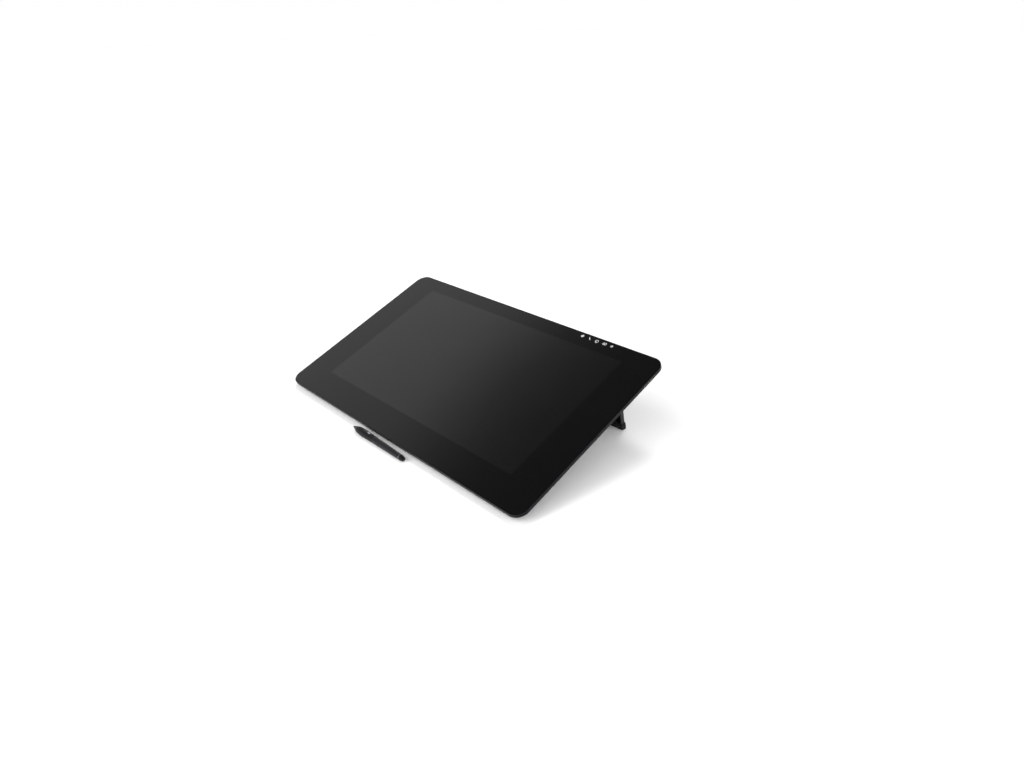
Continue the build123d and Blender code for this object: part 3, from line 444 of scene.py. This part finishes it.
# The tray and the shield plate. Zinc freezes on the sheet in crystals, drawn
# here about a millimetre across.
finishes["pressed_steel"] = grained(
    "galvanised_pressed_steel", "#b3b5b8", "#97999d", roughness=0.34, grain_mm=1.2, depth_mm=0.01,
    patch_mm=12.0, metallic=1.0)
# The heat sink. Pale and faintly clouded, as it leaves the press.
finishes["extruded_aluminium"] = grained(
    "extruded_mill_aluminium", "#c3c5c8", "#b2b4b7", roughness=0.3, grain_mm=0.3, depth_mm=0.01,
    patch_mm=9.0, metallic=1.0)
# The core of the coil. Dark, brownish and dull, like fine stone.
finishes["ferrite"] = grained(
    "sintered_ferrite", "#3a3734", "#2b2927", roughness=0.6, grain_mm=0.15, depth_mm=0.02, patch_mm=3.0)
print(len(finishes), "finishes so far")

# %% [markdown]
# The front frame is aluminium, bead-blasted and anodised black. A thin paler line round the glass is a painted
# highlight, where the lip catches the light, while the sides stay black. A second piece could carry the lip, but
# height in the flat frame already tells it from the sides.

# %% Front frame
SIDE_BLACK = "#060607"
# The paler grey of the lip is a painted highlight, where the lip catches the light.
LIP_HIGHLIGHT_GREY = "#3e3e40"
# The painted highlight grey of the lip fades to the black of the sides between these heights.
SIDE_TOP = -1.1
LIP_FOOT = -0.8
BLAST_GRAIN = 0.2
BLAST_DEPTH = 0.01
BLAST_ROUGHNESS = (0.38, 0.46)


def frame_finish():
    """A painted highlight of paler metal near the glass, black metal below, with the fine grain of blasting."""
    material, shader = start("bead_blasted_black_anodised_aluminium", metallic=1.0)
    split = add(material, "ShaderNodeSeparateXYZ", {"Vector": flat_place(material)})
    lip_highlight = add(material, "ShaderNodeMapRange", {
        "Value": split.outputs["Z"], "From Min": SIDE_TOP * MM, "From Max": LIP_FOOT * MM})
    mix = add(material, "ShaderNodeMix", {
        MIX_FACTOR: lip_highlight.outputs["Result"], MIX_FIRST: linear(SIDE_BLACK), MIX_SECOND: linear(LIP_HIGHLIGHT_GREY)},
        data_type="RGBA")
    link(material, mix.outputs[MIX_RESULT], shader.inputs["Base Color"])
    grain = add(material, "ShaderNodeTexNoise", {
        "Vector": object_place(material, BLAST_GRAIN), "Scale": 1.0, "Detail": 3.0})
    gloss = add(material, "ShaderNodeMapRange", {
        "Value": grain.outputs["Fac"], "To Min": BLAST_ROUGHNESS[0], "To Max": BLAST_ROUGHNESS[1]})
    link(material, gloss.outputs["Result"], shader.inputs["Roughness"])
    bump = add(material, "ShaderNodeBump", {
        "Height": grain.outputs["Fac"], "Distance": BLAST_DEPTH * MM})
    link(material, bump.outputs["Normal"], shader.inputs["Normal"])
    return material


finishes["anodised_aluminium"] = frame_finish()
print("front frame anodised")

# %% [markdown]
# The thin sheets behind the glass are clear or milky. They hide in the
# assembled tablet, but anyone who takes the model apart will see them, so
# each gets its own look: how much light it lets through, how sharp, and a
# very fine ripple from rolling or casting.

# %% Clear and milky sheets
SHEET_GLOSS_DRIFT = 0.05


def see_through(name, tint, roughness, ripple_mm, depth_mm, ior, weight):
    """A sheet that lets light through, with a faint ripple on its face and a slight drift in gloss."""
    material, shader = start(name, ior=ior, transmission_weight=weight)
    ripple = add(material, "ShaderNodeTexNoise", {
        "Vector": object_place(material, ripple_mm), "Scale": 1.0})
    mix = add(material, "ShaderNodeMix", {
        MIX_FACTOR: ripple.outputs["Fac"], MIX_FIRST: linear(tint), MIX_SECOND: linear("#ffffff")},
        data_type="RGBA")
    link(material, mix.outputs[MIX_RESULT], shader.inputs["Base Color"])
    gloss = add(material, "ShaderNodeMapRange", {
        "Value": ripple.outputs["Fac"], "To Min": roughness, "To Max": roughness + SHEET_GLOSS_DRIFT})
    link(material, gloss.outputs["Result"], shader.inputs["Roughness"])
    bump = add(material, "ShaderNodeBump", {
        "Height": ripple.outputs["Fac"], "Distance": depth_mm * MM})
    link(material, bump.outputs["Normal"], shader.inputs["Normal"])
    return material


# A clear soft layer with a long, slight ripple.
finishes["clear_adhesive"] = see_through(
    "optical_acrylic_adhesive", "#f4f6f4", roughness=0.08, ripple_mm=8.0, depth_mm=0.01, ior=1.47, weight=1.0)
# Polarisers swallow most of the light, so the panel is a dark grey glass.
finishes["panel_glass"] = see_through(
    "polarised_panel_glass", "#3c3e44", roughness=0.12, ripple_mm=20.0, depth_mm=0.005, ior=1.52, weight=0.35)
# A fine grain scatters the light, so the film is milky.
finishes["diffuser_film"] = see_through(
    "milky_diffuser_film", "#eceef0", roughness=0.5, ripple_mm=0.4, depth_mm=0.01, ior=1.5, weight=0.5)
# Cast acrylic is the clearest of them.
finishes["clear_acrylic"] = see_through(
    "cast_acrylic_light_guide", "#f6fafa", roughness=0.05, ripple_mm=12.0, depth_mm=0.01, ior=1.49,
    weight=1.0)
print("sheets done")

# %% [markdown]
# Circuit boards are glass-fibre laminate under a green lacquer, with copper
# tracks that show through as slightly lighter lines. A brick pattern is a
# plain way to draw that without any lettering: its joints are the tracks.
# Blender's brick is half a pattern unit long, so it is 1.25 mm here. The
# tracks are 0.3 mm wide, coarser than many real ones, so that they show. A
# broad noise makes the lacquer glossier in some places than in others.

# %% Circuit boards
TRACK_UNIT = 2.5
# Half the width of a track, as a share of the unit.
TRACK_HALF_WIDTH = 0.06
TRACK_HEIGHT = 0.03
ROW_SHIFT_SHARE = 0.37
LACQUER_PATCH = 5.0
LACQUER_ROUGHNESS = (0.22, 0.42)


def board_finish():
    """A broken grid of paler lines on green lacquer, glossy as sprayed lacquer is."""
    material, shader = start("solder_masked_fibreglass_board", ior=1.5)
    tracks = add(material, "ShaderNodeTexBrick", {
        "Vector": object_place(material, TRACK_UNIT, (tilt, 0.0, 0.0)), "Scale": 1.0,
        "Mortar Size": TRACK_HALF_WIDTH, "Color1": linear("#0f3d2a"), "Color2": linear("#124733"),
        "Mortar": linear("#1f6b4a")}, offset=ROW_SHIFT_SHARE)
    link(material, tracks.outputs["Color"], shader.inputs["Base Color"])
    pool = add(material, "ShaderNodeTexNoise", {
        "Vector": object_place(material, LACQUER_PATCH), "Scale": 1.0})
    gloss = add(material, "ShaderNodeMapRange", {
        "Value": pool.outputs["Fac"], "To Min": LACQUER_ROUGHNESS[0], "To Max": LACQUER_ROUGHNESS[1]})
    link(material, gloss.outputs["Result"], shader.inputs["Roughness"])
    bump = add(material, "ShaderNodeBump", {
        "Height": tracks.outputs["Fac"], "Distance": TRACK_HEIGHT * MM})
    link(material, bump.outputs["Normal"], shader.inputs["Normal"])
    return material


finishes["circuit_board"] = board_finish()
print("boards lacquered")

# %% [markdown]
# Wound wire, a knurl and the lines of deep drawing all repeat at a set
# pitch, so one function draws bands and raises them. Blender spaces its
# slanting bands a little wider than its straight ones. The nickel bands are
# bent as well, because the lines of deep drawing are never quite straight.

# %% Wire, brass and nickel
# Blender's bands go through this many radians in one unit of their place.
WAVE_RADIANS = 20.0


def ringed(name, light, dark, pitch_mm, depth_mm, direction, roughness, distortion=0.0):
    """Bands at a set pitch across one axis, light on their crests and raised by their depth."""
    material, shader = start(name, metallic=1.0, roughness=roughness)
    bands = add(material, "ShaderNodeTexWave", {
        "Vector": object_place(material, pitch_mm * WAVE_RADIANS / math.tau), "Scale": 1.0,
        "Distortion": distortion}, bands_direction=direction)
    mix = add(material, "ShaderNodeMix", {
        MIX_FACTOR: bands.outputs["Fac"], MIX_FIRST: linear(dark), MIX_SECOND: linear(light)},
        data_type="RGBA")
    link(material, mix.outputs[MIX_RESULT], shader.inputs["Base Color"])
    bump = add(material, "ShaderNodeBump", {
        "Height": bands.outputs["Fac"], "Distance": depth_mm * MM})
    link(material, bump.outputs["Normal"], shader.inputs["Normal"])
    return material


# The winding in the pen. Enamelled copper gives a warm red glint on each
# turn. Real wire is thinner than 0.4 mm and is drawn thicker, so that its
# turns show.
finishes["copper_winding"] = ringed(
    "enamelled_copper_wire", "#c8743c", "#6e3413", pitch_mm=0.4, depth_mm=0.1, direction="X", roughness=0.3)
# The mounting inserts. Pale gold, with slanting bands in one direction as a
# plain hint of their knurl.
finishes["brass_insert"] = ringed(
    "knurled_turned_brass", "#d9b566", "#a8873d", pitch_mm=0.6, depth_mm=0.08, direction="DIAGONAL",
    roughness=0.28)
# The socket shells and the hinge pins. Nickel plate is pale and bright, with
# broad, faint streaks.
finishes["nickel_steel"] = ringed(
    "nickel_plated_deep_drawn_steel", "#c4c1ba", "#b2afa8", pitch_mm=3.0, depth_mm=0.004, direction="X",
    roughness=0.24, distortion=6.0)
print("all", len(finishes), "finishes made")

# %% [markdown]
# The record of the part names a material slot for each piece. Each finish
# above is filed under such a slot, so one pass gives every piece its look.

# %% Give every piece its finish


def dress(piece, material):
    """Makes the material the piece's only one."""
    piece.data.materials.clear()
    piece.data.materials.append(material)


slots = {entry["node"]: entry["material_slot"] for entry in frame["record"]["subparts"]}
bare = sorted(name for name in nodes if slots.get(name) not in finishes)
for name, piece in nodes.items():
    if name not in bare:
        dress(piece, finishes[slots[name]])
print("without a finish:", bare)

# %% [markdown]
# What Blender adds to the construction is built from points and faces worked
# out in code. They could be modelled by hand, but code gives the same piece
# on every run, and a size can be changed in one place. One function puts the
# points and faces into a mesh, gives it its finish and lets it move with a
# body of the construction.

# %% Building a piece


def build(name, points, faces, material, body, smooth=False):
    """A piece from points in metres and faces, finished and set to move with a body."""
    mesh = bpy.data.meshes.new(name)
    mesh.from_pydata(np.asarray(points).tolist(), [], [list(face) for face in faces])
    mesh.update()
    mesh.polygons.foreach_set("use_smooth", [smooth] * len(mesh.polygons))
    piece = bpy.data.objects.new(name, mesh)
    bpy.context.collection.objects.link(piece)
    dress(piece, material)
    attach(piece, body)
    return piece


# %% [markdown]
# The real keys are printed under the glass. Here they are thin shapes of
# white ink a hair above it, so that the glass need not be cut. Text or curves
# could draw them too, but their outlines are simple enough to work out. Each
# is a closed loop of points, and a pair of loops with the same number of
# points makes a ring of ink between them.

# %% Loops and rings
GEAR_TEETH = 8
POINTS_PER_TOOTH = 16
FLANK_STEEPNESS = 2.2


def loop_ring(outer, inner):
    """Quads between two closed loops that have the same number of points."""
    count = len(outer)
    here = np.arange(count)
    ahead = (here + 1) % count
    return np.vstack([outer, inner]), np.stack([here, ahead, ahead + count, here + count], axis=1)


def rounded_box(width, height, corner, steps=6):
    """A rectangle whose corners are quarter circles, as points in order, against the clock."""
    turn = np.linspace(0.0, math.pi / 2, steps)
    arcs = []
    for quarter, (sx, sy) in enumerate(((1, 1), (-1, 1), (-1, -1), (1, -1))):
        angle = turn + quarter * math.pi / 2
        centre = np.array([sx * (width / 2 - corner), sy * (height / 2 - corner)])
        arcs.append(centre + corner * np.stack([np.cos(angle), np.sin(angle)], axis=1))
    return np.vstack(arcs)


def gear_loop(inner, outer, teeth):
    """A circle whose radius follows a cosine cut off above and below, once for each tooth."""
    angle = np.linspace(0.0, math.tau, teeth * POINTS_PER_TOOTH, endpoint=False)
    wave = np.clip(np.cos(angle * teeth) * FLANK_STEEPNESS, -1.0, 1.0)
    radius = (inner + outer) / 2 + (outer - inner) / 2 * wave
    return np.stack([radius * np.cos(angle), radius * np.sin(angle)], axis=1)


def circle(radius, count):
    """Points evenly spaced round a circle: the cosine and sine of each angle, times the radius."""
    angle = np.linspace(0.0, math.tau, count, endpoint=False)
    return np.stack([radius * np.cos(angle), radius * np.sin(angle)], axis=1)


print("a gear has", GEAR_TEETH * POINTS_PER_TOOTH, "points")

# %% [markdown]
# The five touch keys sit at the upper right of the glass: a gear, a pen
# stroke, a screen, a keyboard and an arrow. They are put together from rings
# and bars. Each box and bar is given as its width, height and corner radius,
# then the middle of a bar and its turn in degrees, in millimetres round the
# middle of the key.

# %% The five signs
KEY_PLACES = {"gear": 156.0, "pen_stroke": 173.5, "screen": 191.0, "keyboard": 209.0, "arrow": 226.0}
BAR_HOLE_SHARE = 0.02


def turned(points, degrees):
    """Points turned about zero in their own plane, against the clock."""
    angle = math.radians(degrees)
    matrix = np.array([[math.cos(angle), math.sin(angle)], [-math.sin(angle), math.cos(angle)]])
    return points @ matrix


def bar(width, height, corner, middle, degrees=0.0):
    """A filled rounded bar: a ring whose inner loop is the outer one shrunk almost to nothing."""
    loop = rounded_box(width, height, corner)
    points, quads = loop_ring(loop, loop * BAR_HOLE_SHARE)
    return turned(points, degrees) + middle, quads


def key_shapes():
    """The rings and bars of ink of each key."""
    return {
        "gear": [
            loop_ring(gear_loop(2.5, 3.4, GEAR_TEETH), circle(1.2, GEAR_TEETH * POINTS_PER_TOOTH))],
        "pen_stroke": [
            bar(5.6, 1.6, 0.4, (0.4, -0.4), -48.0),
            bar(1.6, 1.1, 0.3, (-2.1, 2.6), -48.0)],
        "screen": [
            loop_ring(rounded_box(7.2, 5.2, 0.9), rounded_box(5.4, 3.4, 0.3)),
            bar(3.8, 1.0, 0.2, (0.0, -3.9)),
            bar(1.3, 0.9, 0.1, (0.0, -3.0))],
        "keyboard": [
            loop_ring(rounded_box(8.0, 5.4, 1.1), rounded_box(6.6, 4.0, 0.5)),
            *[bar(0.8, 0.8, 0.1, (x, y)) for y in (0.8, -0.3) for x in (-2.2, -1.1, 0.0, 1.1, 2.2)],
            bar(3.2, 0.6, 0.1, (0.0, -1.3))],
        "arrow": [
            bar(4.6, 1.1, 0.2, (-1.3, 1.1), 45.0),
            bar(4.6, 1.1, 0.2, (1.3, 1.1), -45.0),
            bar(1.1, 5.6, 0.2, (0.0, -0.4))],
    }


print({name: len(parts) for name, parts in key_shapes().items()})

# %% [markdown]
# All the ink of one key is laid on the glass as one thin piece. The ink is
# ceramic and fired into the glass, which gives an even white with little
# shine.

# %% Print the keys
INK_LIFT = 0.02
KEY_Y = 384.0


def print_keys():
    """All the ink of one key becomes one thin piece on the glass."""
    ink = grained(
        "white_ceramic_ink", "#d8d9da", "#c9cacb", roughness=0.5, grain_mm=0.3, depth_mm=0.002, patch_mm=5.0)
    for name, parts in key_shapes().items():
        points, faces, count = [], [], 0
        for flat, quads in parts:
            points.append(on_glass(flat[:, 0] + KEY_PLACES[name], flat[:, 1] + KEY_Y, INK_LIFT))
            faces += (quads + count).tolist()
            count += len(flat)
        piece = build("key_print_" + name, np.vstack(points), faces, ink, "display")
    return len(key_shapes())


print(print_keys(), "keys printed")

# %% [markdown]
# The pen lies on the desk with its tip to the left. Everything round it is
# easiest in the pen's own terms: how far along the axis from the tip, how far
# from the axis, and at which angle round it. The axis is the way the nib
# presses in, and its start is read from the nib itself.

# %% The pen's own terms
NIB_RADIUS = 0.8
pen_axis = np.array(joints["nib_press"]["axis"])
pen_side = np.array([0.0, 1.0, 0.0])
pen_up = np.cross(pen_axis, pen_side)
pen_frame = np.stack([pen_axis, pen_side, pen_up])
nib_low, nib_high = (np.array(corner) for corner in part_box("pen_nib"))
pen_tip = np.array([nib_low[0], (nib_low[1] + nib_high[1]) / 2, nib_high[2] - NIB_RADIUS * MM])


def round_pen(along, radius, angle):
    """Places along the axis, away from it and round it, in millimetres and radians, as points in metres.

    The angle is zero on the side towards the display and a quarter turn at the top.
    """
    along, radius, angle = np.broadcast_arrays(np.asarray(along, float), radius, angle)
    offset = radius * np.cos(angle)
    rise = radius * np.sin(angle)
    flat = np.stack([along, offset, rise], axis=-1) * MM
    return pen_tip + flat @ pen_frame


def pen_places(node):
    """A piece's vertices as place along the axis, sideways and up, in millimetres."""
    mesh = nodes[node].data
    flat = np.empty(len(mesh.vertices) * 3)
    mesh.vertices.foreach_get("co", flat)
    return (flat.reshape(-1, 3) - pen_tip) @ pen_frame.T / MM


def grid_faces(rows, columns):
    """Quads of a grid of points in row order, with the last column joined to the first."""
    row, column = np.meshgrid(np.arange(rows - 1), np.arange(columns), indexing="ij")
    ahead = (column + 1) % columns
    here = row * columns
    beyond = here + columns
    quads = np.stack([here + column, here + ahead, beyond + ahead, beyond + column], axis=-1)
    return quads.reshape(-1, 4)


print("pen tip at", pen_tip.round(4), "axis", pen_axis.round(4))

# %% [markdown]
# A satin metal ring closes the barrel before the eraser, and a shallow bead
# of the grip's own rubber ends the grip. Both are a rounded profile carried
# round the axis. The foot of the profile lies a little inside the pen, so no
# gap can show under it.

# %% Rings of the pen
RING_FOOT = 0.25
RING_PROFILE_POINTS = 13
RING_STEPS = 96


def pen_ring(name, start, end, radius, proud, material, body):
    """A half-oval bead: its height follows the sine of the way across, carried round the axis."""
    across = np.linspace(0.0, math.pi, RING_PROFILE_POINTS)
    along = (start + end) / 2 - (end - start) / 2 * np.cos(across)
    height = radius - RING_FOOT + (proud + RING_FOOT) * np.sin(across)
    angle = np.linspace(0.0, math.tau, RING_STEPS, endpoint=False)
    points = round_pen(along[:, None], height[:, None], angle[None, :]).reshape(-1, 3)
    faces = grid_faces(RING_PROFILE_POINTS, RING_STEPS)[:, ::-1]
    return build(name, points, faces, material, body, smooth=True)


# Satin chrome: a soft grey band round the black barrel.
satin_metal = grained(
    "satin_chromed_ring", "#a7a9ad", "#95979b", roughness=0.3, grain_mm=0.12, depth_mm=0.004,
    spread=0.03, patch_mm=6.0, metallic=1.0)
tail_ring = pen_ring(
    "pen_tail_ring", start=144.6, end=146.0, radius=5.34, proud=0.12, material=satin_metal, body="pen")
grip_bead = pen_ring(
    "pen_grip_bead", start=64.6, end=66.4, radius=6.72, proud=0.18, material=finishes["pen_rubber"],
    body="pen")
print("pen dressed with", tail_ring.name, grip_bead.name)

# %% [markdown]
# The half of the side switch that lies further back carries a light satin inlay, a painted highlight that makes
# the brightest spot on the pen. It is a low dome over an oval. The switch's own top, read from its mesh, gives the
# curve that it lies on.

# %% Painted highlight inlay of the side switch
# Points of the switch above this height and this near its middle are its top.
SWITCH_TOP_ABOVE = 6.0
SWITCH_TOP_HALF_WIDTH = 1.2
# Across the switch the inlay falls away as a circle of this radius does.
SWITCH_ROLL_RADIUS = 7.5
INLAY_FOOT = 0.12
INLAY_RINGS = 12
INLAY_STEPS = 48


def painted_highlight_inlay(name, middle, length, width, height, material):
    """A dome: its rise falls off as one minus the fourth power of the distance from the middle."""
    tops = pen_places("pen_side_switch")
    tops = tops[(tops[:, 2] > SWITCH_TOP_ABOVE) & (np.abs(tops[:, 1]) < SWITCH_TOP_HALF_WIDTH)]
    surface = np.polyfit(tops[:, 0], tops[:, 2], 2)
    ring = np.linspace(0.0, 1.0, INLAY_RINGS)
    angle = np.linspace(0.0, math.tau, INLAY_STEPS, endpoint=False)
    along = middle + length / 2 * ring[:, None] * np.cos(angle)
    aside = width / 2 * ring[:, None] * np.sin(angle)
    dome = (height + INLAY_FOOT) * (1.0 - ring[:, None] ** 4)
    rise = np.polyval(surface, along) - INLAY_FOOT + dome - aside ** 2 / (2 * SWITCH_ROLL_RADIUS)
    flat = np.stack([along, aside, rise], axis=-1).reshape(-1, 3) * MM
    points = pen_tip + flat @ pen_frame
    return build(name, points, grid_faces(INLAY_RINGS, INLAY_STEPS), material, "pen_side_switch", smooth=True)


# Silver paint, pale and softly metallic: a painted highlight, one bright spot on the switch.
highlight_paint = grained(
    "satin_silver_highlight_paint", "#d9dadd", "#c9cace", roughness=0.36, grain_mm=0.15, depth_mm=0.004,
    spread=0.04, patch_mm=4.0, metallic=0.7)
highlight_piece = painted_highlight_inlay(
    "pen_switch_painted_highlight", middle=51.4, length=9.0, width=3.4, height=0.12, material=highlight_paint)
print("switch dressed with", highlight_piece.name)

# %% [markdown]
# Inside each of the four sockets in the side edges, four gold-plated contacts
# lie on the tongue. They are small plates with rounded outlines, the outer
# two longer than the inner two, as in the real socket. All sixteen are one
# piece, because they never move apart.

# %% Contacts of the edge sockets
SOCKET_Y = (352.0, 334.0)
TONGUE_TIP = 333.6
TONGUE_FACE = -4.4
# The place of each contact across the tongue, and its length.
CONTACTS = ((-3.5, 7.4), (-1.0, 6.4), (1.0, 6.4), (3.5, 7.4))
CONTACT_WIDTH = 1.0
CONTACT_CORNER = 0.3
CONTACT_THICKNESS = 0.12
CONTACT_SETBACK = 0.5
CORNER_STEPS = 4


def plate(width, depth, corner, thickness):
    """A flat plate with rounded corners: two loops with a cap on each, as flat points and faces."""
    loop = rounded_box(width, depth, corner, CORNER_STEPS)
    count = len(loop)
    low = np.column_stack([loop, np.full(count, -thickness / 2)])
    high = np.column_stack([loop, np.full(count, thickness / 2)])
    here = np.arange(count)
    ahead = (here + 1) % count
    sides = np.stack([here, ahead, ahead + count, here + count], axis=1).tolist()
    return np.vstack([low, high]), sides + [here[::-1].tolist(), (here + count).tolist()]


def socket_contacts(material):
    """One plate for each contact of each socket, joined into one piece."""
    points, faces, count = [], [], 0
    for side in (-1, 1):
        for socket_y in SOCKET_Y:
            for offset, length in CONTACTS:
                flat, found = plate(length, CONTACT_WIDTH, CONTACT_CORNER, CONTACT_THICKNESS)
                x = side * (TONGUE_TIP - CONTACT_SETBACK - length / 2) + flat[:, 0]
                points.append(on_glass(x, socket_y + offset + flat[:, 1], TONGUE_FACE + flat[:, 2]))
                faces += [[number + count for number in face] for face in found]
                count += len(flat)
    piece = build("usb_contacts", np.vstack(points), faces, material, "display")
    return piece


# Gold plate stays bright and warm in the dark of the socket.
gold = grained(
    "gold_plated_contact", "#e0b65a", "#cf9f45", roughness=0.22, grain_mm=0.1, depth_mm=0.002,
    spread=0.03, patch_mm=2.0, metallic=1.0)
print(len(socket_contacts(gold).data.polygons), "faces of contacts")
